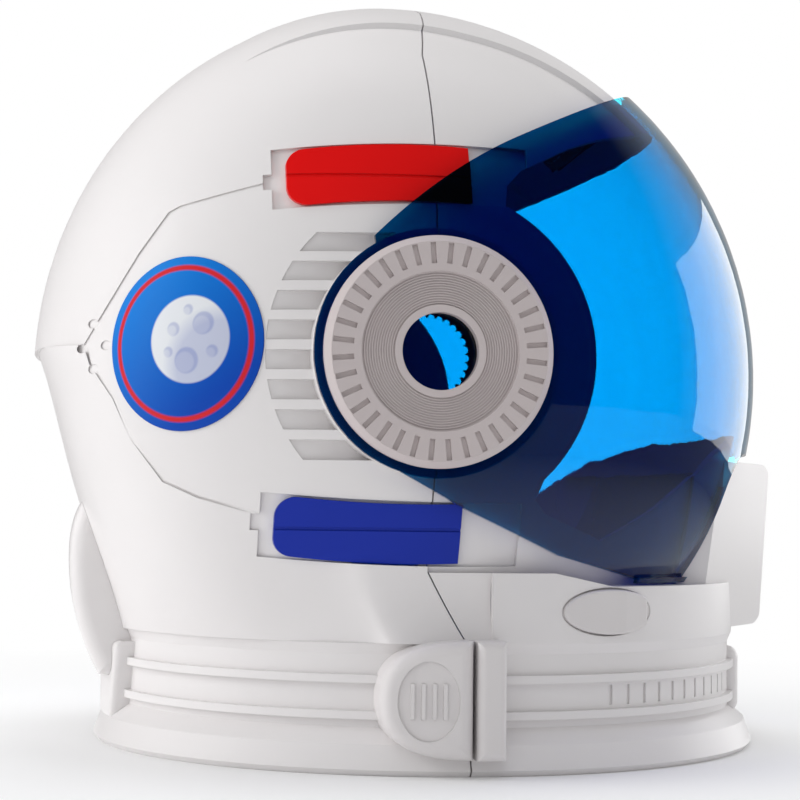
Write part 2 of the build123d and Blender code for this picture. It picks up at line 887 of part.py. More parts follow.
def badge(top, floor, side):
    """Thin round badge that follows the dome, on the right for side -1 and on the left for 1."""
    turn = math.radians(badge_turn)
    plane = Plane(
        (pivot_x + badge_x, side * badge_out, pivot_z + badge_z),
        x_dir=(math.cos(turn), side * math.sin(turn), 0),
        z_dir=(-math.sin(turn), side * math.cos(turn), 0),
    )
    prism = extrude(plane * Circle(badge_radius).face(), amount=badge_radius, both=True)
    return (prism & top) - floor


def inside(depth):
    """The dome's inside with the crown strip's, brought in by a depth."""
    return dome(-wall - depth) + crown_strip(-wall - depth)


def foam(thickness, region):
    """Foam pad that follows the dome's inside within a region."""
    return (inside(foam_gap) & region) - inside(foam_gap + thickness)


def across(half_width):
    return block((-reach, -half_width, 0), (reach, half_width, 2 * reach))


def side_foam_region():
    middle = pivot_x + side_foam_x
    return block(
        (middle - side_foam_length / 2, -reach, pivot_z - side_foam_height / 2),
        (middle + side_foam_length / 2, 0, pivot_z + side_foam_height / 2),
    )


def strap_region(margin=0.0):
    return block(
        (pivot_x - strap_half_length - margin, -strap_half_width - margin, pivot_z),
        (pivot_x + strap_half_length + margin, strap_half_width + margin, 2 * reach),
    )


def top_strap(margin=0.0):
    """Strap under the crown that joins the two shells, or the room that it takes."""
    return (inside(-overrun if margin else 0) & strap_region(margin)) - inside(strap_wall + margin)


def side_strap():
    """Strap inside the neck ring that joins the two shells on the right."""
    region = block(
        (latch_seam_x - strap_half_length, -reach, strap_z - strap_half_width),
        (latch_seam_x + strap_half_length, 0, strap_z + strap_half_width),
    )
    outer = pillar(bore_radius, 0, collar_z) & region
    return outer - pillar(bore_radius - strap_wall, 0, collar_z)


def save(name, piece):
    """Moves a piece into the helmet's own frame and writes it."""
    piece = Pos(base_x, 0, 0) * piece
    export_step(piece, "parts/" + name + ".step")
    print(name, len(piece.solids()), round(piece.volume / 1000, 2), piece.is_valid)


def save_pair(name, piece):
    """Writes a right-hand piece and its mirror image."""
    save(name + "_right", piece)
    save(name + "_left", mirror(piece, Plane.XZ))


# Shells
outer = body_core() + crown_strip() + neck_ring() + rounded_snout() + rear_rib()
outer = outer + both(front_boss()) + both(barrel(drum_radius, ear_floor, drum_face))
outer = outer - both(barrel(drum_radius, drum_face, reach))
hollow = body_core(-wall) + crown_strip(-wall) + (snout(-wall) & snout_room(-wall))
hollow = hollow - pillar(reach, collar_z - overrun, collar_z + overrun)
hollow = hollow + pillar(bore_radius, -reach, collar_z + 2 * overrun)
filled = outer + hollow
hollow = hollow - both(barrel(ear_radius, ear_floor, reach))
bed_floor = dome(-channel_depth)
cuts = ear_cuts() + tick_grooves() + [surface_marks(), knob_recess_cut()]
cuts += [pad_channel(up) - bed_floor for up in (True, False)]
shell = outer - hollow - cuts - [mirror(cut, Plane.XZ) for cut in cuts] - opening_prism()
save("rear_shell", shell & seam_prism(False))
save("front_shell", shell & seam_prism(True))

# Trim on the shells
pad_top = dome(pad_rise)
crease_floor = dome(pad_rise - pad_groove_depth)
for up, name in ((True, "red_pad"), (False, "blue_pad")):
    body, crease = bumper_pad(up, pad_top, bed_floor)
    save_pair(name, body - (crease - crease_floor))
for side, name in ((-1, "side_badge_right"), (1, "side_badge_left")):
    save(name, badge(dome(badge_gap + badge_thickness), dome(badge_gap), side))
save_pair("latch_grip", latch_piece(True, filled))
save_pair("latch_keeper", latch_piece(False, filled))
save_pair("chin_knob", chin_knob())
save("rear_cover", rear_cover(filled))

# Visor and its hubs
save("visor", visor() - hub_screws(screw_gap))
save_pair("ear_dial", ear_dial())
save_pair("hub_bush", hub_bush())
save_pair("retaining_ring", retaining_ring())
save_pair("click_spring", click_spring())
screws = hub_screws()
save("hub_screws", screws[0] + screws[1:])

# Foam and straps inside
crown_pad = foam(crown_foam, wedge(*crown_foam_turns) & across(crown_foam_half_width))
save("crown_pad", crown_pad - top_strap(foam_gap))
save("brow_pad", foam(brow_foam, wedge(*brow_foam_turns) & across(brow_foam_half_width)))
save("nape_pad", foam(nape_foam, wedge(*nape_foam_turns) & across(nape_foam_half_width)))
save_pair("side_pad", foam(side_foam, side_foam_region()))
save("crown_strap", top_strap())
save_pair("neck_strap", side_strap())
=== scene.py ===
"""Finishes, cushions and studio for a toy astronaut helmet, laid out as a Blender add-on."""

import json
import math

import bmesh
import bpy
from bpy.props import FloatProperty, FloatVectorProperty, IntProperty
from mathutils import Matrix, Vector
from mathutils.bvhtree import BVHTree


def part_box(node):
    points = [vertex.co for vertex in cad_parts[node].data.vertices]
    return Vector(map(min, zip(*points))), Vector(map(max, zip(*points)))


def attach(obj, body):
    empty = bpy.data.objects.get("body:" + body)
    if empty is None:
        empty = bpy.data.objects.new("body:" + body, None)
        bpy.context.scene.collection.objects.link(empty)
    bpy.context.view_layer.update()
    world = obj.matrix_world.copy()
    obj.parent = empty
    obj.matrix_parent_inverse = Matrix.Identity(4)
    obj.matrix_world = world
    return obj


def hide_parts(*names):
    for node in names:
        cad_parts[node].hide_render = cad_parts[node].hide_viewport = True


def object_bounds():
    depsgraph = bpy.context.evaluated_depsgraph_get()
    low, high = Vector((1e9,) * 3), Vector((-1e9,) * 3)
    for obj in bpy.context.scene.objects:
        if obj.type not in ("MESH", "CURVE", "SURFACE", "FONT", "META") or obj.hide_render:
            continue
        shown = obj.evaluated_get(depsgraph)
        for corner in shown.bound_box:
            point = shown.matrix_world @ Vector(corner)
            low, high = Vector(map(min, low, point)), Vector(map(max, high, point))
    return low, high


bl_info = {
    "name": "Toy astronaut helmet",
    "version": (1, 0, 0),
    "blender": (4, 5, 0),
    "location": "3D View > Sidebar > Helmet",
    "description": "Dresses the helmet's frame with finishes, cushions and a studio",
    "category": "Object",
}

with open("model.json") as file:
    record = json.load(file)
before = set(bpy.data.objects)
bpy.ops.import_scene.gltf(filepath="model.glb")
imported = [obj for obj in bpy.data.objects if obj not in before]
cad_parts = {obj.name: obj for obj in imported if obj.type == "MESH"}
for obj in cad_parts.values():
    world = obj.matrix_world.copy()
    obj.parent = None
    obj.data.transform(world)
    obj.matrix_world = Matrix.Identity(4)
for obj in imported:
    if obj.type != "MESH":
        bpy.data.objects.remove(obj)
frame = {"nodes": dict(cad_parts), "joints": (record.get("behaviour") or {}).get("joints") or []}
nodes = frame["nodes"]
cad_low, cad_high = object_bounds()
pivot = Vector(frame["joints"][0]["pos_m"])
SIDES = (("right", -1), ("left", 1))

# Rounds of the badge's picture: x, z and radius, in shares of the badge's radius. NIGHT is the
# dark side of the moon, and BADGE_RING the inner and outer radius of the thin ring.
MOON = (0.12, 0.04, 0.50)
CRATERS = ((0.30, 0.22, 0.13), (-0.08, 0.16, 0.08), (0.10, -0.20, 0.15),
           (0.42, -0.10, 0.07), (-0.14, -0.10, 0.06), (0.10, 0.38, 0.06))
NIGHT = (0.50, -0.28, 0.62)
BADGE_RING = (0.84, 0.90)

# Least share of a cushion's face that looks at the head where its channels are sewn
HEAD_SIDE = 0.3

# Floor's radius, and how far from its middle it starts and ends to turn plain white, in metres
FLOOR_RADIUS = 1.6
FLOOR_FADE = (0.14, 0.50)

# Place, size in metres and power in watts of each lamp, and whether polished faces show it
LAMPS = {
    "key": ((-0.5, -1.2, 1.1), (1.0, 0.8), 2.1, False),
    "front_panel": ((1.0, 0.35, 0.25), (0.9, 0.7), 3.8, True),
    "back_panel": ((-1.1, 0.05, 0.35), (0.8, 1.1), 9.6, False),
    "top": ((0.1, 0.2, 1.4), (1.0, 1.0), 9.6, False),
}


def hue(name, text, value):
    """A colour that a user may change."""
    return FloatVectorProperty(
        name=name, description=text, subtype="COLOR", size=3, min=0, max=1, default=value
    )


def length(name, text, value):
    """A length in metres that a user may change."""
    return FloatProperty(name=name, description=text, subtype="DISTANCE", unit="LENGTH",
                         precision=5, default=value)


def share(name, text, value):
    """A plain share or strength that a user may change."""
    return FloatProperty(name=name, description=text, default=value)


def angle(name, text, degrees):
    """An angle that a user may change."""
    return FloatProperty(name=name, description=text, subtype="ANGLE", unit="ROTATION",
                         default=math.radians(degrees))


class HelmetColours(bpy.types.PropertyGroup):
    """Colours of the helmet's pieces."""

    shell: hue("Shell", "Moulded shell halves and rear cover", (0.79, 0.765, 0.76))
    trim: hue("Trim", "Latches and chin knobs", (0.72, 0.69, 0.685))
    dial: hue("Dial", "Ear dials", (0.59, 0.525, 0.52))
    red: hue("Red pad", "Bumper pads over the ears", (0.76, 0.004, 0.004))
    blue: hue("Blue pad", "Bumper pads under the ears", (0.010, 0.030, 0.36))
    tint: hue("Visor", "Tint of one wall of the visor", (0.001, 0.22, 0.42))
    shade: hue("Visor shade", "Light that one face of the visor lets in", (0.0, 0.16, 0.90))
    sky: hue("Badge sky", "Ground of the round badge", (0.002, 0.06, 0.42))
    high_sky: hue("Badge high sky", "Upper part of the badge's ground", (0.004, 0.21, 0.68))
    moon: hue("Badge moon", "Moon on the badge", (0.72, 0.74, 0.77))
    badge_ring: hue("Badge ring", "Thin ring on the badge", (0.62, 0.02, 0.03))
    bush: hue("Bush", "Bushes, springs and straps", (0.62, 0.60, 0.58))
    # Retaining ring colour is painted shade and painted blue light: white plastic made darker and
    # bluish as if in shade behind the blue disc
    ring: hue("Retaining ring", "Scalloped rings behind the hubs", (0.30, 0.36, 0.42))
    steel: hue("Screw", "Hub screws", (0.56, 0.56, 0.58))
    foam: hue("Cushion", "Knitted cover of the cushions", (0.055, 0.060, 0.075))
    piping: hue("Piping", "Rolled edge of the cushions", (0.02, 0.03, 0.10))
    thread: hue("Thread", "Stitches on the cushions", (0.42, 0.44, 0.50))


class HelmetSizes(bpy.types.PropertyGroup):
    """Sizes of what is added to the frame."""

    edge: length("Edge round", "Small round that shows on moulded edges", 0.00035)
    grain: length("Grain", "Pitch of the moulded grain", 0.0006)
    badge_x: length("Badge back", "Badge centre behind the visor's axis", -0.0804)
    badge_z: length("Badge up", "Badge centre over the visor's axis", 0.0029)
    badge_out: length("Badge out", "Badge centre from the middle plane", 0.103)
    badge_turn: angle("Badge turn", "Turn of the badge about the upright", 44)
    badge_radius: length("Badge radius", "Radius of the round badge", 0.0292)
    voxel: length("Remesh", "Voxel that the cushions are remeshed with", 0.0036)
    inset: length("Inset", "How far a cushion starts inside its solid", 0.0017)
    swell: length("Swell", "Most that a cushion may swell", 0.0016)
    channel: length("Channel", "Depth of the sewn channels", 0.0022)
    channel_width: length("Channel width", "Half width of a sewn channel", 0.0055)
    piping: length("Piping", "Radius of the rolled edge", 0.0011)
    stitch: length("Stitch", "Length of a stitch", 0.0026)
    stitch_pitch: length("Stitch pitch", "Spacing of the stitches", 0.0042)
    stitch_radius: length("Stitch radius", "Radius of the thread", 0.00032)
    stitch_inset: length("Stitch inset", "Stitch line from the cushion's edge", 0.0065)
    steps: IntProperty(name="Steps", description="Cloth steps of a cushion", default=20)


class HelmetStudio(bpy.types.PropertyGroup):
    """Camera, room and what polished faces and the visor show of it."""

    eye: FloatVectorProperty(
        name="Camera", description="Place of the camera", subtype="TRANSLATION",
        unit="LENGTH", size=3, default=(-0.13405, -0.7219, 0.0827),
    )
    yaw: angle("Yaw", "Turn of the camera to its right", 10.5)
    pitch: angle("Pitch", "Tilt of the camera upwards", 3.74)
    roll: angle("Roll", "Roll of the camera", 0.68)
    lens: share("Lens", "Focal length in millimetres", 83.7)
    ambient: share("Ambient", "Light of the room", 0.49)
    room: hue("Room", "Tone of the room's light", (0.97, 0.98, 1.0))
    behind: hue("Behind", "Room's light on what the visor covers", (0.02, 0.06, 0.60))
    glow: hue("Glow", "Tone of the white wall seen through the visor", (0.60, 1.0, 0.72))
    glow_level: share("Glow level", "White wall seen through the visor", 8.8)
    gloss: share("Gloss", "White wall seen in polished faces", 0.5)
    dusk: share("Dusk", "Dark side of the room, seen in polished faces", 0.015)
    floor_gloss: share("Floor gloss", "White floor seen in polished faces", 0.2)
    wall_turn: angle("Wall turn", "Turn of the white wall's middle towards the front", 45)


def settings():
    """The colours, the sizes and the studio that the user may change."""
    scene = bpy.context.scene
    return scene.helmet_colours, scene.helmet_sizes, scene.helmet_studio


# Node tree helpers


def add(tree, kind, **values):
    """A node with its plain inputs set; an input may also be named by its index, as i0."""
    node = tree.nodes.new(kind)
    for name, value in values.items():
        if hasattr(node, name):
            setattr(node, name, value)
        elif name.startswith("i") and name[1:].isdigit():
            put(tree, node.inputs[int(name[1:])], value)
        else:
            put(tree, node.inputs[name.replace("_", " ")], value)
    return node


def put(tree, socket, value):
    """Sets a socket, or links another socket to it."""
    if isinstance(value, bpy.types.NodeSocket):
        tree.links.new(value, socket)
    elif socket.type == "RGBA" and len(value) == 3:
        socket.default_value = (*value, 1)
    else:
        socket.default_value = value


def maths(tree, operation, *values):
    """A Math node's result."""
    node = tree.nodes.new("ShaderNodeMath")
    node.operation = operation
    for socket, value in zip(node.inputs, values):
        put(tree, socket, value)
    return node.outputs[0]


def blend_colour(tree, factor, first, second, kind="MIX"):
    """A colour between two others."""
    node = tree.nodes.new("ShaderNodeMix")
    node.data_type = "RGBA"
    node.blend_type = kind
    put(tree, node.inputs[0], factor)
    put(tree, node.inputs[6], first)
    put(tree, node.inputs[7], second)
    return node.outputs[2]


def ramp(tree, value, low, high, first=0.0, last=1.0):
    """A value taken from one range to another, and kept in it."""
    node = add(tree, "ShaderNodeMapRange", i0=value, i1=low, i2=high, i3=first, i4=last)
    return node.outputs[0]


def noise(tree, place, scale, detail=2.0, rough=0.5, warp=0.0):
    """A soft random value."""
    node = add(tree, "ShaderNodeTexNoise", Vector=place, Scale=scale, Detail=detail,
               Roughness=rough, Distortion=warp)
    return node.outputs["Fac"]


# What a finish group gives to a material
FINISH = {
    "Colour": "NodeSocketColor", "Roughness": "NodeSocketFloat", "Normal": "NodeSocketVector",
}


def own_place(tree):
    """The point's place on its piece, in metres."""
    return tree.nodes.new("ShaderNodeTexCoord").outputs["Object"]


def join_shaders(tree, end, factor, first, second):
    """Sends a mix of two shaders to the node that ends the tree."""
    mix = tree.nodes.new("ShaderNodeMixShader")
    for socket, value in zip(mix.inputs, (factor, first.outputs[0], second.outputs[0])):
        put(tree, socket, value)
    put(tree, tree.nodes[end].inputs["Surface"], mix.outputs[0])


def built_once(name, build):
    """The node tree with a name, built when it is first asked for."""
    return bpy.data.node_groups.get(name) or build(name)


def finish_group(name, inputs):
    """An empty group for a finish: its tree, its input node and its output node."""
    tree = bpy.data.node_groups.new(name, "ShaderNodeTree")
    for label, kind, value in inputs:
        socket = tree.interface.new_socket(name=label, in_out="INPUT", socket_type=kind)
        socket.default_value = value
    for label, kind in FINISH.items():
        tree.interface.new_socket(name=label, in_out="OUTPUT", socket_type=kind)
    return tree, tree.nodes.new("NodeGroupInput"), tree.nodes.new("NodeGroupOutput")


def moulded_group(name):
    """Moulded plastic: cloudy colour, fine grain, faint scuffs and soft, slightly worn edges."""
    inputs = (
        ("Colour", "NodeSocketColor", (0.8, 0.8, 0.8, 1)),
        ("Edge Colour", "NodeSocketColor", (0.9, 0.9, 0.9, 1)),
        ("Cloud", "NodeSocketFloat", 0.04),
        ("Wear", "NodeSocketFloat", 0.3),
        ("Roughness", "NodeSocketFloat", 0.4),
        ("Scuff", "NodeSocketFloat", 0.1),
        ("Grain Scale", "NodeSocketFloat", 1600.0),
        ("Grain Depth", "NodeSocketFloat", 0.00002),
        ("Edge Round", "NodeSocketFloat", 0.0004),
    )
    tree, start, end = finish_group(name, inputs)
    place = own_place(tree)
    given = start.outputs
    clouds = noise(tree, place, scale=17.0, detail=3.0)
    shade = maths(tree, "MULTIPLY", ramp(tree, clouds, 0.35, 0.68), given["Cloud"])
    body = blend_colour(tree, shade, given["Colour"], (0.62, 0.60, 0.60), "MULTIPLY")
    bevel = add(tree, "ShaderNodeBevel", samples=4, Radius=given["Edge Round"])
    plain = tree.nodes.new("ShaderNodeNewGeometry").outputs["Normal"]
    apart = add(tree, "ShaderNodeVectorMath", operation="DOT_PRODUCT",
                i0=bevel.outputs[0], i1=plain)
    edge = ramp(tree, apart.outputs["Value"], 0.995, 0.80)
    chips = ramp(tree, noise(tree, place, scale=140.0, detail=4.0, rough=0.7), 0.40, 0.62)
    worn = maths(tree, "MULTIPLY", maths(tree, "MULTIPLY", edge, chips), given["Wear"])
    put(tree, end.inputs["Colour"], blend_colour(tree, worn, body, given["Edge Colour"]))
    long_way = add(tree, "ShaderNodeMapping", Vector=place, Scale=(1.0, 1.0, 7.0),
                   Rotation=(0.3, 0.5, 0.4))
    streaks = noise(tree, long_way.outputs[0], scale=90.0, detail=5.0, rough=0.65, warp=1.5)
    lines = maths(tree, "MULTIPLY", ramp(tree, streaks, 0.56, 0.70), given["Scuff"])
    soft = maths(tree, "MULTIPLY", maths(tree, "SUBTRACT", clouds, 0.5), given["Scuff"])
    rough = maths(tree, "ADD", maths(tree, "ADD", given["Roughness"], lines), soft)
    put(tree, end.inputs["Roughness"], rough)
    grain = noise(tree, place, given["Grain Scale"], detail=2.0, rough=0.6)
    bump = add(tree, "ShaderNodeBump", Distance=given["Grain Depth"], Height=grain,
               Normal=bevel.outputs[0])
    put(tree, end.inputs["Normal"], bump.outputs[0])
    return tree


def knit_group(name):
    """Fine knitted cover that follows the piece's own map, in metres, with painted shade low
    between its loops and lighter loop tops.
    """
    inputs = (
        ("Colour", "NodeSocketColor", (0.1, 0.1, 0.1, 1)),
        ("Loop Colour", "NodeSocketColor", (0.2, 0.2, 0.2, 1)),
        ("Loops", "NodeSocketFloat", 620.0),
        ("Depth", "NodeSocketFloat", 0.0002),
    )
    tree, start, end = finish_group(name, inputs)
    given = start.outputs
    own_map = add(tree, "ShaderNodeUVMap", uv_map="weave").outputs[0]
    spread = add(tree, "ShaderNodeVectorMath", operation="SCALE", i0=own_map,
                 Scale=given["Loops"])
    parts = add(tree, "ShaderNodeSeparateXYZ", i0=spread.outputs[0])
    along = maths(tree, "MULTIPLY", parts.outputs[0], 2 * math.pi)
    across = maths(tree, "MULTIPLY", parts.outputs[1], 2 * math.pi)
    rib = maths(tree, "ABSOLUTE", maths(tree, "SINE", along))
    lean = maths(tree, "ADD", across, maths(tree, "MULTIPLY", rib, 2.2))
    loop = maths(tree, "ABSOLUTE", maths(tree, "SINE", lean))
    height = maths(tree, "MULTIPLY", maths(tree, "POWER", rib, 0.6),
                   maths(tree, "POWER", loop, 0.7))
    place = own_place(tree)
    worn = noise(tree, place, scale=60.0, detail=4.0, rough=0.6)
    patch = ramp(tree, worn, 0.3, 0.75, 0.0, 0.35)
    # Painted shade: the cover is darker where the knit lies low between the loops and lighter on
    # the loop tops
    colour = blend_colour(tree, maths(tree, "MULTIPLY", height, 0.6), given["Colour"],
                          given["Loop Colour"])
    # Random worn patches, real wear, in the same lighter colour as the lit loop tops
    put(tree, end.inputs["Colour"], blend_colour(tree, patch, colour, given["Loop Colour"]))
    put(tree, end.inputs["Roughness"], ramp(tree, height, 0.0, 1.0, 0.95, 0.78))
    bump = add(tree, "ShaderNodeBump", Distance=given["Depth"], Height=height)
    put(tree, end.inputs["Normal"], bump.outputs[0])
    return tree


def bare_material(name):
    """A new material: itself, its tree and its Principled shader."""
    material = bpy.data.materials.new(name)
    material.use_nodes = True
    tree = material.node_tree
    return material, tree, tree.nodes["Principled BSDF"]


def finished(name, group, values):
    """A material whose finish comes from a group with the given values, and its shader."""
    material, tree, shader = bare_material(name)
    node = tree.nodes.new("ShaderNodeGroup")
    node.node_tree = group
    for label, value in values.items():
        put(tree, node.inputs[label], value)
    for socket, label in zip(("Base Color", "Roughness", "Normal"), FINISH):
        put(tree, shader.inputs[socket], node.outputs[label])
    return material, shader


def moulded(name, colour, edge_colour=None, rough=0.38, cloud=0.05, wear=0.25, scuff=0.08,
            grain_depth=0.000012, shine=0.5):
    """A material of moulded plastic."""
    sizes = settings()[1]
    lighter = tuple(min(1.0, c * 1.15 + 0.04) for c in colour)
    values = {
        "Colour": tuple(colour), "Edge Colour": edge_colour or lighter, "Cloud": cloud,
        "Wear": wear, "Roughness": rough, "Scuff": scuff, "Grain Scale": 1 / sizes.grain,
        "Grain Depth": grain_depth, "Edge Round": sizes.edge,
    }
    group = built_once("Moulded plastic", moulded_group)
    material, shader = finished(name, group, values)
    shader.inputs["IOR"].default_value = 1.5
    shader.inputs["Specular IOR Level"].default_value = shine
    return material


def paint(mesh, material):
    """Gives a mesh its one material."""
    mesh.materials.clear()
    mesh.materials.append(material)


def dress(names, material):
    """Gives CAD nodes a material."""
    for name in names:
        paint(nodes[name].data, material)


def pair(name):
    """The names of a node's right and left."""
    return [name + "_right", name + "_left"]


# Badge


def badge_picture(tree, flat):
    """Sky, moon, craters and ring of the badge from its own flat coordinates, radius 1."""
    colours = settings()[0]
    parts = add(tree, "ShaderNodeSeparateXYZ", i0=flat)
    across, up = parts.outputs[0], parts.outputs[1]

    def disc(x, z, radius, soft=0.012):
        """1 inside a circle and 0 outside it."""
        dx = maths(tree, "SUBTRACT", across, x)
        dz = maths(tree, "SUBTRACT", up, z)
        far = maths(tree, "SQRT", maths(tree, "ADD", maths(tree, "MULTIPLY", dx, dx),
                                        maths(tree, "MULTIPLY", dz, dz)))
        return ramp(tree, far, radius + soft, radius - soft)

    lean = maths(tree, "SUBTRACT", up, maths(tree, "MULTIPLY", across, 0.7))
    fade = ramp(tree, lean, -0.9, 1.3)
    picture = blend_colour(tree, fade, tuple(colours.sky), tuple(colours.high_sky))
    moon = disc(*MOON)
    picture = blend_colour(tree, moon, picture, tuple(colours.moon))
    dark = blend_colour(tree, 0.32, tuple(colours.moon), tuple(colours.sky))
    for x, z, radius in CRATERS:
        picture = blend_colour(tree, disc(x, z, radius), picture, dark)
        lit = maths(tree, "MULTIPLY", disc(x - 0.02, z - 0.02, radius * 0.78), 0.5)
        picture = blend_colour(tree, lit, picture, tuple(colours.moon))
    night = maths(tree, "MULTIPLY", moon, disc(*NIGHT, soft=0.10))
    night = maths(tree, "MULTIPLY", night, 0.30)
    picture = blend_colour(tree, night, picture, tuple(colours.sky))
    inner, outer = BADGE_RING
    band = maths(tree, "SUBTRACT", disc(0, 0, outer), disc(0, 0, inner))
    return blend_colour(tree, band, picture, tuple(colours.badge_ring))


def badge_material(name, side):
    """Printed picture that lies flat on the badge's own plane."""
    sizes = settings()[1]
    material = moulded(name, (0.5, 0.5, 0.5), rough=0.30, cloud=0.0, wear=0.0, scuff=0.10,
                       grain_depth=0.000004, shine=0.25)
    tree = material.node_tree
    place = own_place(tree)
    centre = Vector((pivot.x + sizes.badge_x, side * sizes.badge_out, pivot.z + sizes.badge_z))
    away = add(tree, "ShaderNodeVectorMath", operation="SUBTRACT", i0=place, i1=tuple(centre))
    turn = sizes.badge_turn
    along = (math.cos(turn), side * math.sin(turn), 0)
    flat = tree.nodes.new("ShaderNodeCombineXYZ")
    for socket, axis in zip(flat.inputs, (along, (0, 0, 1))):
        dot = add(tree, "ShaderNodeVectorMath", operation="DOT_PRODUCT",
                  i0=away.outputs[0], i1=axis)
        put(tree, socket, maths(tree, "MULTIPLY", dot.outputs["Value"], 1 / sizes.badge_radius))
    group = next(node for node in tree.nodes if node.type == "GROUP")
    put(tree, group.inputs["Colour"], badge_picture(tree, flat.outputs[0]))
    return material


# Visor


def visor_material():
    """Clear tinted plastic, with faint wipe marks in its gloss. Lamps shine through it tinted."""
    colours = settings()[0]
    material, tree, shader = bare_material("Visor tint")
    shader.inputs["Base Color"].default_value = (*colours.tint, 1)
    shader.inputs["Transmission Weight"].default_value = 1
    shader.inputs["IOR"].default_value = 1.49
    place = own_place(tree)
    wipe = add(tree, "ShaderNodeMapping", Vector=place, Scale=(1.0, 1.0, 4.0),
               Rotation=(0.2, 0.6, 0.3))
    marks = noise(tree, wipe.outputs[0], scale=60.0, detail=4.0, rough=0.6, warp=0.8)
    put(tree, shader.inputs["Roughness"], ramp(tree, marks, 0.45, 0.80, 0.012, 0.05))
    rays = tree.nodes.new("ShaderNodeLightPath")
    clear = add(tree, "ShaderNodeBsdfTransparent", i0=tuple(colours.shade))
    join_shaders(tree, "Material Output", rays.outputs["Is Shadow Ray"], shader, clear)
    return material


def steel_material():
    """Bright screw steel with fine turning marks."""
    colours = settings()[0]
    material, tree, shader = bare_material("Screw steel")
    place = own_place(tree)
    marks = noise(tree, place, scale=2400.0, detail=3.0, rough=0.6)
    tone = ramp(tree, marks, 0.3, 0.7, 0.0, 0.5)
    put(tree, shader.inputs["Base Color"],
        blend_colour(tree, tone, tuple(colours.steel), (0.30, 0.30, 0.31)))
    put(tree, shader.inputs["Roughness"], ramp(tree, marks, 0.3, 0.7, 0.22, 0.42))
    shader.inputs["Metallic"].default_value = 1
    return material


# Cushions


def mesh_of(piece):
    """The piece's mesh with its modifiers applied."""
    graph = bpy.context.evaluated_depsgraph_get()
    return bpy.data.meshes.new_from_object(piece.evaluated_get(graph))


def bake_in(piece):
    """Applies a piece's modifiers and clears them."""
    mesh = mesh_of(piece)
    piece.modifiers.clear()
    piece.data = mesh


def new_piece(name, data):
    """An object with a mesh, curve, lamp or camera, put in the scene."""
    piece = bpy.data.objects.new(name, data)
    bpy.context.scene.collection.objects.link(piece)
    return piece


def welded_copy(name, node):
    """A copy of a CAD node's mesh with its points merged."""
    mesh = bpy.data.meshes.new(name)
    bm = bmesh.new()
    bm.from_mesh(nodes[node].data)
    bmesh.ops.remove_doubles(bm, verts=bm.verts, dist=1e-6)
    bmesh.ops.recalc_face_normals(bm, faces=bm.faces)
    bm.to_mesh(mesh)
    bm.free()
    return new_piece(name, mesh)


def polygons(mesh):
    """A mesh's points and faces, for a search tree."""
    return [v.co.copy() for v in mesh.vertices], [tuple(p.vertices) for p in mesh.polygons]


def smooth(mesh):
    """Shades a mesh smooth."""
    for polygon in mesh.polygons:
        polygon.use_smooth = True


def move_along_normals(mesh, amount):
    """Moves a mesh's points outwards, or inwards where the amount is negative."""
    normals = [Vector(n.vector) for n in mesh.vertex_normals]
    for vertex, normal in zip(mesh.vertices, normals):
        vertex.co += normal * amount
    mesh.update()


def inflate(piece):
    """Blows the cushion up as cloth with air in it, and caps how far each point moves."""
    sizes = settings()[1]
    start = [vertex.co.copy() for vertex in piece.data.vertices]
    cloth = piece.modifiers.new("Cloth", "CLOTH")
    cloth.settings.use_pressure = True
    cloth.settings.uniform_pressure_force = 4
    cloth.settings.effector_weights.gravity = 0
    cloth.collision_settings.use_collision = False
    cloth.point_cache.frame_start = 1
    cloth.point_cache.frame_end = sizes.steps
    scene = bpy.context.scene
    for step in range(1, sizes.steps + 1):
        scene.frame_set(step)
    blown = mesh_of(piece)
    piece.modifiers.clear()
    for vertex, before in zip(blown.vertices, start):
        move = vertex.co - before
        if move.length > sizes.swell:
            vertex.co = before + move.normalized() * sizes.swell
    blown.update()
    piece.data = blown
    scene.frame_set(1)


class Wrap:
    """Places on a cushion that lies under the dome: along it and across it, from the axis."""

    def __init__(self, node):
        places = [v.co - pivot for v in nodes[node].data.vertices]
        turns = [math.atan2(p.z, p.x) for p in places]
        self.low = Vector((min(turns), min(p.y for p in places)))
        self.high = Vector((max(turns), max(p.y for p in places)))
        self.radius = sum(math.hypot(p.x, p.z) for p in places) / len(places)

    def ray(self, along, across):
        """Origin and outward direction of a place."""
        turn = along / self.radius
        return pivot + Vector((0, across, 0)), Vector((math.cos(turn), 0, math.sin(turn)))

    def place(self, point):
        """Length along and across of a point."""
        away = point - pivot
        return Vector((math.atan2(away.z, away.x) * self.radius, away.y))

    def box(self):
        """Lowest and highest place."""
        return (Vector((self.low.x * self.radius, self.low.y)),
                Vector((self.high.x * self.radius, self.high.y)))


class Side:
    """Places on a cushion beside the ear: along X and up, from the middle plane."""

    def __init__(self, node):
        low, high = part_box(node)
        self.low, self.high = low, high
        self.out = 1 if low.y > 0 else -1

    def ray(self, along, across):
        """Origin and outward direction of a place."""
        return Vector((along, 0, across)), Vector((0, self.out, 0))

    def place(self, point):
        """Length along and height of a point."""
        return Vector((point.x, point.z))

    def box(self):
        """Lowest and highest place."""
        return Vector((self.low.x, self.low.z)), Vector((self.high.x, self.high.z))


def sew_channels(mesh, chart, lines):
    """Draws the head's side of a cushion in along sewn lines, given as shares of its width."""
    sizes = settings()[1]
    low, high = chart.box()
    normals = [Vector(n.vector) for n in mesh.vertex_normals]
    for vertex, normal in zip(mesh.vertices, normals):
        spot = chart.place(vertex.co)
        outward = chart.ray(*spot)[1]
        facing = -normal.dot(outward)
        if facing < HEAD_SIDE:
            continue
        for line in lines:
            middle = low.y + (high.y - low.y) * line
            gap = abs(spot.y - middle) / sizes.channel_width
            if gap < 1:
                vertex.co -= normal * sizes.channel * facing * (1 - gap * gap) ** 2
    mesh.update()


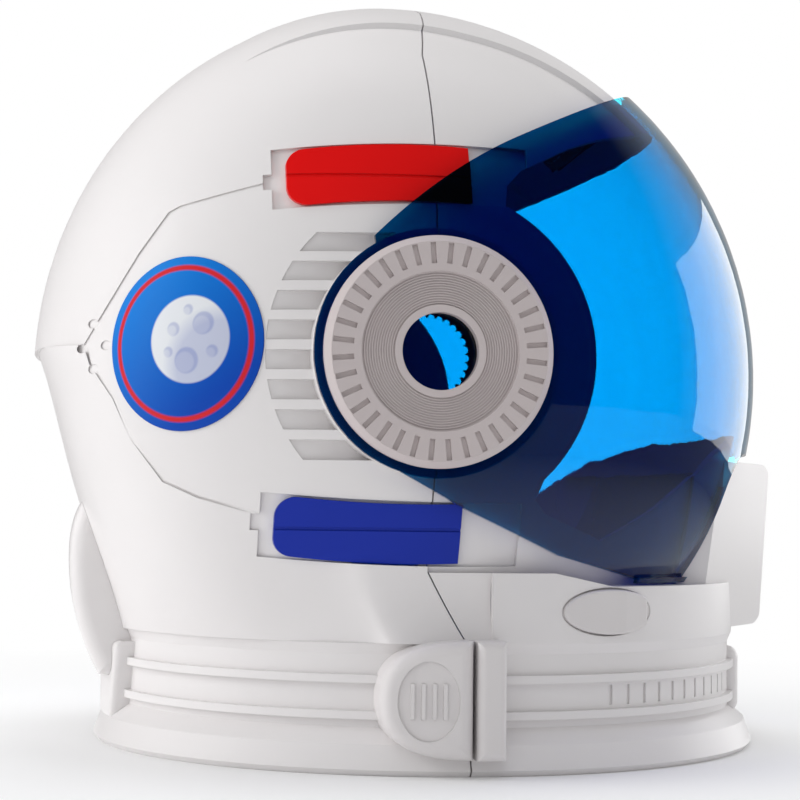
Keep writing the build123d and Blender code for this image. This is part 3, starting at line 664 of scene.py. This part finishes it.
def map_weave(mesh, chart):
    """Gives the mesh a map named weave, in metres, for its knitted cover."""
    layer = mesh.uv_layers.new(name="weave")
    spots = [chart.place(vertex.co) for vertex in mesh.vertices]
    for loop in mesh.loops:
        layer.data[loop.index].uv = spots[loop.vertex_index]


def loop_spots(chart, inset, round_share=0.28, corner_steps=6):
    """A closed run of places round a cushion, inset from its edges, with rounded corners."""
    low, high = chart.box()
    middle, half = (low + high) / 2, (high - low) / 2 - Vector((inset, inset))
    radius = min(half) * round_share
    spots = []
    for corner, (sx, sy) in enumerate(((1, 1), (-1, 1), (-1, -1), (1, -1))):
        centre = middle + Vector((sx * (half.x - radius), sy * (half.y - radius)))
        for step in range(corner_steps + 1):
            turn = math.pi / 2 * (corner + step / corner_steps)
            spots.append(centre + radius * Vector((math.cos(turn), math.sin(turn))))
    return spots


def fill_in(spots, pitch):
    """The same closed run with more places on its long sides."""
    run = []
    for first, second in zip(spots, spots[1:] + spots[:1]):
        count = max(1, int((second - first).length / pitch))
        run += [first.lerp(second, step / count) for step in range(count)]
    return run


def piping(name, node, chart):
    """Rolled edge half sunk in the cushion's side, on the middle of its thickness."""
    sizes = settings()[1]
    tree = BVHTree.FromPolygons(*polygons(nodes[node].data))
    points = []
    run = loop_spots(chart, sizes.inset + sizes.piping * 0.4, round_share=0.12)
    for spot in fill_in(run, pitch=0.003):
        origin, out = chart.ray(*spot)
        inner = tree.ray_cast(origin, out)[0]
        if inner is None:
            continue
        outer = tree.ray_cast(inner + out * 1e-5, out)[0] or inner
        points.append((inner + outer) / 2)
    curve = bpy.data.curves.new(name, "CURVE")
    curve.dimensions = "3D"
    curve.bevel_depth = sizes.piping
    curve.bevel_resolution = 2
    spline = curve.splines.new("POLY")
    spline.points.add(len(points) - 1)
    for target, point in zip(spline.points, points):
        target.co = (*point, 1)
    spline.use_cyclic_u = True
    rope = new_piece(name, curve)
    mesh = mesh_of(rope)
    bpy.data.objects.remove(rope)
    smooth(mesh)
    return new_piece(name, mesh)


def stitch_tree(name):
    """Geometry Nodes that lay stitches along a run: resampled, instanced and turned to it."""
    tree = bpy.data.node_groups.new(name, "GeometryNodeTree")
    for label, kind in (
        ("Run", "NodeSocketGeometry"), ("Pitch", "NodeSocketFloat"),
        ("Length", "NodeSocketFloat"), ("Thread Radius", "NodeSocketFloat"),
        ("Material", "NodeSocketMaterial"),
    ):
        tree.interface.new_socket(name=label, in_out="INPUT", socket_type=kind)
    tree.interface.new_socket(name="Geometry", in_out="OUTPUT", socket_type="NodeSocketGeometry")
    given = tree.nodes.new("NodeGroupInput").outputs
    end = tree.nodes.new("NodeGroupOutput")
    run = add(tree, "GeometryNodeMeshToCurve", i0=given["Run"])
    even = add(tree, "GeometryNodeResampleCurve", mode="LENGTH", Curve=run.outputs[0],
               Length=given["Pitch"])
    tangent = tree.nodes.new("GeometryNodeInputTangent")
    turn = add(tree, "FunctionNodeAlignRotationToVector", axis="Z", Vector=tangent.outputs[0])
    ball = add(tree, "GeometryNodeMeshUVSphere", Segments=8, Rings=6, Radius=1.0)
    stretch = add(tree, "ShaderNodeCombineXYZ", i0=given["Thread Radius"],
                  i1=given["Thread Radius"], i2=maths(tree, "MULTIPLY", given["Length"], 0.5))
    laid = add(tree, "GeometryNodeInstanceOnPoints", Points=even.outputs[0],
               Instance=ball.outputs["Mesh"], Rotation=turn.outputs[0], Scale=stretch.outputs[0])
    real = add(tree, "GeometryNodeRealizeInstances", i0=laid.outputs[0])
    dyed = add(tree, "GeometryNodeSetMaterial", Geometry=real.outputs[0],
               Material=given["Material"])
    put(tree, end.inputs[0], dyed.outputs[0])
    return tree


def stitches(name, cushion, chart, material):
    """Stitches round the head's side of a cushion, on its surface."""
    sizes = settings()[1]
    tree = BVHTree.FromPolygons(*polygons(cushion.data))
    bm = bmesh.new()
    last = first = None
    for spot in fill_in(loop_spots(chart, sizes.stitch_inset), pitch=0.002):
        origin, out = chart.ray(*spot)
        hit = tree.ray_cast(origin, out)[0]
        if hit is None:
            continue
        vertex = bm.verts.new(hit - out * sizes.stitch_radius * 0.3)
        if last:
            bm.edges.new((last, vertex))
        first = first or vertex
        last = vertex
    bm.edges.new((last, first))
    mesh = bpy.data.meshes.new(name)
    bm.to_mesh(mesh)
    bm.free()
    piece = new_piece(name, mesh)
    modifier = piece.modifiers.new("Stitches", "NODES")
    modifier.node_group = built_once("Stitches", stitch_tree)
    values = {
        "Pitch": sizes.stitch_pitch, "Length": sizes.stitch,
        "Thread Radius": sizes.stitch_radius, "Material": material,
    }
    for item in modifier.node_group.interface.items_tree:
        if item.in_out == "INPUT" and item.name in values:
            modifier[item.identifier] = values[item.name]
    bake_in(piece)
    smooth(piece.data)
    return piece


def cloth_material(name, colour, lit_loop_and_worn_colour):
    """A knitted cover, with painted shade between its loops and lighter, partly worn, loop tops.
    """
    values = {"Colour": tuple(colour), "Loop Colour": lit_loop_and_worn_colour, "Loops": 620.0,
              "Depth": 0.00018}
    group = built_once("Knitted cover", knit_group)
    material, shader = finished(name, group, values)
    shader.inputs["Sheen Weight"].default_value = 0.35
    shader.inputs["Sheen Roughness"].default_value = 0.5
    return material


def make_cushion(node, chart, lines, cover, edge, thread):
    """One cushion with its piping and stitches, in place of its plain solid."""
    sizes = settings()[1]
    piece = welded_copy(node + "_cushion", node)
    remesh = piece.modifiers.new("Remesh", "REMESH")
    remesh.mode = "VOXEL"
    remesh.voxel_size = sizes.voxel
    bake_in(piece)
    move_along_normals(piece.data, -sizes.inset)
    inflate(piece)
    finer = piece.modifiers.new("Finer", "SUBSURF")
    finer.levels = finer.render_levels = 1
    bake_in(piece)
    sew_channels(piece.data, chart, lines)
    map_weave(piece.data, chart)
    smooth(piece.data)
    paint(piece.data, cover)
    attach(piece, "root")
    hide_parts(node)
    rope = piping(node + "_piping", node, chart)
    paint(rope.data, edge)
    sewn = stitches(node + "_stitches", piece, chart, thread)
    for extra in (rope, sewn):
        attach(extra, "root")


# Operators, one for each piece or group of like pieces


class HELMET_OT_shells(bpy.types.Operator):
    """Finish of the two shell halves and the rear cover"""

    bl_idname = "helmet.shells"
    bl_label = "Shells"

    def execute(self, context):
        colour = settings()[0].shell
        dress(["rear_shell", "front_shell", "rear_cover"],
              moulded("Shell white", colour, rough=0.34, cloud=0.05, wear=0.15))
        return {"FINISHED"}


class HELMET_OT_trim(bpy.types.Operator):
    """Finish of the latches and the chin knobs"""

    bl_idname = "helmet.trim"
    bl_label = "Latches and knobs"

    def execute(self, context):
        names = pair("latch_grip") + pair("latch_keeper") + pair("chin_knob")
        dress(names, moulded("Trim white", settings()[0].trim, rough=0.32, wear=0.2))
        return {"FINISHED"}


class HELMET_OT_pads(bpy.types.Operator):
    """Finish of the red and blue bumper pads"""

    bl_idname = "helmet.pads"
    bl_label = "Bumper pads"

    def execute(self, context):
        colours = settings()[0]
        plans = (
            ("red", colours.red, (0.85, 0.04, 0.04)),
            ("blue", colours.blue, (0.03, 0.07, 0.55)),
        )
        for name, colour, worn in plans:
            dress(pair(name + "_pad"), moulded(
                "Pad " + name, colour, edge_colour=worn, rough=0.30, cloud=0.20, wear=0.12,
                scuff=0.03, shine=0.14))
        return {"FINISHED"}


class HELMET_OT_badges(bpy.types.Operator):
    """Printed picture of the round badges"""

    bl_idname = "helmet.badges"
    bl_label = "Badges"

    def execute(self, context):
        for name, side in SIDES:
            dress(["side_badge_" + name], badge_material("Badge print " + name, side))
        return {"FINISHED"}


class HELMET_OT_visor(bpy.types.Operator):
    """Tinted plastic of the visor"""

    bl_idname = "helmet.visor"
    bl_label = "Visor"

    def execute(self, context):
        dress(["visor"], visor_material())
        return {"FINISHED"}


class HELMET_OT_hubs(bpy.types.Operator):
    """Finish of the ear dials and of what turns behind them"""

    bl_idname = "helmet.hubs"
    bl_label = "Ear hubs"

    def execute(self, context):
        colours = settings()[0]
        dress(pair("ear_dial"), moulded("Dial grey", colours.dial, rough=0.42, cloud=0.06,
                                        wear=0.25, grain_depth=0.00002))
        plain = moulded("Bush plastic", colours.bush, rough=0.45)
        dress(pair("hub_bush") + pair("click_spring"), plain)
        dress(["crown_strap"] + pair("neck_strap"), plain)
        # Darker bluish grey of the retaining rings is painted shade and blue light on white
        # plastic
        dress(pair("retaining_ring"), moulded("Ring plastic", colours.ring, rough=0.4))
        dress(["hub_screws"], steel_material())
        return {"FINISHED"}


class HELMET_OT_cushions(bpy.types.Operator):
    """Sewn cushions in place of the plain foam solids"""

    bl_idname = "helmet.cushions"
    bl_label = "Cushions"

    def execute(self, context):
        colours = settings()[0]
        # Lighter colour of the loop tops and worn patches: painted light on the knit, and real
        # wear
        lighter = tuple(min(1, c * 2.2 + 0.02) for c in colours.foam)
        cover = cloth_material("Cushion cover", colours.foam, lighter)
        edge = moulded("Cushion piping", colours.piping, rough=0.7, wear=0.0, scuff=0.2)
        thread = moulded("Cushion thread", colours.thread, rough=0.8, wear=0.0, scuff=0.2)
        plans = (
            ("crown_pad", Wrap, (0.25, 0.5, 0.75)),
            ("brow_pad", Wrap, (0.25, 0.5, 0.75)),
            ("nape_pad", Wrap, (0.2, 0.4, 0.6, 0.8)),
            ("side_pad_right", Side, (0.33, 0.67)),
            ("side_pad_left", Side, (0.33, 0.67)),
        )
        for node, chart, lines in plans:
            make_cushion(node, chart(node), lines, cover, edge, thread)
        return {"FINISHED"}


class HELMET_OT_studio(bpy.types.Operator):
    """Floor, room, lamps and camera"""

    bl_idname = "helmet.studio"
    bl_label = "Studio"

    def execute(self, context):
        make_floor()
        make_room()
        make_lamps()
        make_camera()
        return {"FINISHED"}


# Studio


def make_floor():
    """Round floor that keeps a soft shadow near the helmet and turns plain white further out."""
    bm = bmesh.new()
    bmesh.ops.create_circle(bm, cap_ends=True, segments=96, radius=FLOOR_RADIUS)
    mesh = bpy.data.meshes.new("studio_floor")
    bm.to_mesh(mesh)
    bm.free()
    floor = new_piece("studio_floor", mesh)
    material, tree, shader = bare_material("Floor white")
    studio = settings()[2]
    place = own_place(tree)
    far = add(tree, "ShaderNodeVectorMath", operation="LENGTH", i0=place)
    fade = ramp(tree, far.outputs["Value"], *FLOOR_FADE)
    speckle = ramp(tree, noise(tree, place, scale=6.0), 0.3, 0.7, 0.0, 0.06)
    put(tree, shader.inputs["Base Color"],
        blend_colour(tree, speckle, (0.93, 0.93, 0.93), (0.88, 0.88, 0.88)))
    shader.inputs["Roughness"].default_value = 0.6
    glow = add(tree, "ShaderNodeEmission", Color=seen_tone(tree, studio))
    put(tree, glow.inputs["Strength"], seen_white(tree, studio, studio.floor_gloss))
    seen = maths(tree, "MULTIPLY", fade, first_rays(tree))
    join_shaders(tree, "Material Output", seen, shader, glow)
    mesh.materials.append(material)


def first_rays(tree):
    """1 for rays that have met nothing matt on their way from the eye."""
    rays = tree.nodes.new("ShaderNodeLightPath")
    return maths(tree, "LESS_THAN", rays.outputs["Diffuse Depth"], 0.5)


def wall_gloss(tree, studio):
    """Brightness of the room in polished faces: white ahead on the left, dusk elsewhere."""
    toward = tree.nodes.new("ShaderNodeTexCoord").outputs["Generated"]
    facing = add(tree, "ShaderNodeVectorMath", operation="DOT_PRODUCT", i0=toward,
                 i1=(math.sin(studio.wall_turn), math.cos(studio.wall_turn), 0))
    return ramp(tree, facing.outputs["Value"], 0.60, 0.85, studio.dusk, studio.gloss)


def straight_through(tree):
    """1 for rays that have come through the visor without a reflection."""
    rays = tree.nodes.new("ShaderNodeLightPath")
    plain = maths(tree, "LESS_THAN", rays.outputs["Glossy Depth"], 0.5)
    return maths(tree, "MULTIPLY", rays.outputs["Is Transmission Ray"], plain)


def seen_white(tree, studio, gloss):
    """How bright the white wall is: plain to the eye, its own share in polished faces."""
    rays = tree.nodes.new("ShaderNodeLightPath")
    reflected = maths(tree, "GREATER_THAN", rays.outputs["Glossy Depth"], 0.5)
    mirrored = maths(tree, "MULTIPLY", reflected, gloss)
    through = maths(tree, "MULTIPLY", straight_through(tree), studio.glow_level)
    straight = maths(tree, "ADD", rays.outputs["Is Camera Ray"], through)
    return maths(tree, "ADD", straight, mirrored)


def seen_tone(tree, studio):
    """Tone of the white wall: plain, or the visor's glow for what is seen through it."""
    return blend_colour(tree, straight_through(tree), (1, 1, 1), tuple(studio.glow))


def make_room():
    """World: an even room light, and a white wall for the eye, the visor and polished faces."""
    studio = settings()[2]
    world = bpy.data.worlds.new("Studio room")
    world.use_nodes = True
    tree = world.node_tree
    room = tree.nodes["Background"]
    rays = tree.nodes.new("ShaderNodeLightPath")
    covered = ramp(tree, rays.outputs["Transmission Depth"], 0, 1)
    put(tree, room.inputs[0],
        blend_colour(tree, covered, tuple(studio.room), tuple(studio.behind)))
    room.inputs[1].default_value = studio.ambient
    wall = add(tree, "ShaderNodeBackground", i0=seen_tone(tree, studio))
    put(tree, wall.inputs[1], seen_white(tree, studio, wall_gloss(tree, studio)))
    join_shaders(tree, "World Output", first_rays(tree), room, wall)
    bpy.context.scene.world = world


def lamp(name, place, target, size, power, mirrored):
    """A soft rectangular lamp aimed at a point, seen in polished faces or not."""
    light = bpy.data.lights.new(name, "AREA")
    light.shape = "RECTANGLE"
    light.size, light.size_y = size
    light.energy = power
    lamp_object = new_piece(name, light)
    lamp_object.location = place
    lamp_object.visible_glossy = mirrored
    lamp_object.visible_transmission = False
    aim = Vector(target) - Vector(place)
    lamp_object.rotation_mode = "QUATERNION"
    lamp_object.rotation_quaternion = aim.to_track_quat("-Z", "Y")


def make_lamps():
    """Soft lamps over the camera, before and behind the helmet, and above it."""
    middle = (cad_low + cad_high) / 2
    for name, (place, size, power, mirrored) in LAMPS.items():
        lamp(name, place, middle, size, power, mirrored)


def make_camera():
    """Camera at the photograph's place and angle."""
    studio = settings()[2]
    data = bpy.data.cameras.new("camera")
    data.lens = studio.lens
    data.sensor_width = 36
    data.clip_start, data.clip_end = 0.01, 20
    camera = new_piece("camera", data)
    turn = (Matrix.Rotation(-studio.yaw, 4, "Z")
            @ Matrix.Rotation(math.pi / 2 + studio.pitch, 4, "X")
            @ Matrix.Rotation(studio.roll, 4, "Z"))
    camera.matrix_world = Matrix.Translation(studio.eye) @ turn
    bpy.context.scene.camera = camera


class HELMET_PT_panel(bpy.types.Panel):
    """Lists what dresses the helmet"""

    bl_idname = "HELMET_PT_panel"
    bl_label = "Toy astronaut helmet"
    bl_space_type = "VIEW_3D"
    bl_region_type = "UI"
    bl_category = "Helmet"

    def draw(self, context):
        for operator in OPERATORS:
            self.layout.operator(operator.bl_idname)
        for group in settings():
            box = self.layout.box()
            for name in type(group).__annotations__:
                box.prop(group, name)


GROUPS = (HelmetColours, HelmetSizes, HelmetStudio)
OPERATORS = (
    HELMET_OT_shells, HELMET_OT_trim, HELMET_OT_pads, HELMET_OT_badges, HELMET_OT_visor,
    HELMET_OT_hubs, HELMET_OT_cushions, HELMET_OT_studio,
)
CLASSES = GROUPS + OPERATORS + (HELMET_PT_panel,)


def register():
    for item in CLASSES:
        bpy.utils.register_class(item)
    bpy.types.Scene.helmet_colours = bpy.props.PointerProperty(type=HelmetColours)
    bpy.types.Scene.helmet_sizes = bpy.props.PointerProperty(type=HelmetSizes)
    bpy.types.Scene.helmet_studio = bpy.props.PointerProperty(type=HelmetStudio)


def unregister():
    del bpy.types.Scene.helmet_colours
    del bpy.types.Scene.helmet_sizes
    del bpy.types.Scene.helmet_studio
    for item in reversed(CLASSES):
        bpy.utils.unregister_class(item)


def main():
    register()
    bpy.context.scene.view_settings.view_transform = "Standard"
    bpy.ops.helmet.shells()
    bpy.ops.helmet.trim()
    bpy.ops.helmet.pads()
    bpy.ops.helmet.badges()
    bpy.ops.helmet.visor()
    bpy.ops.helmet.hubs()
    bpy.ops.helmet.cushions()
    bpy.ops.helmet.studio()


if __name__ == "__main__":
    main()
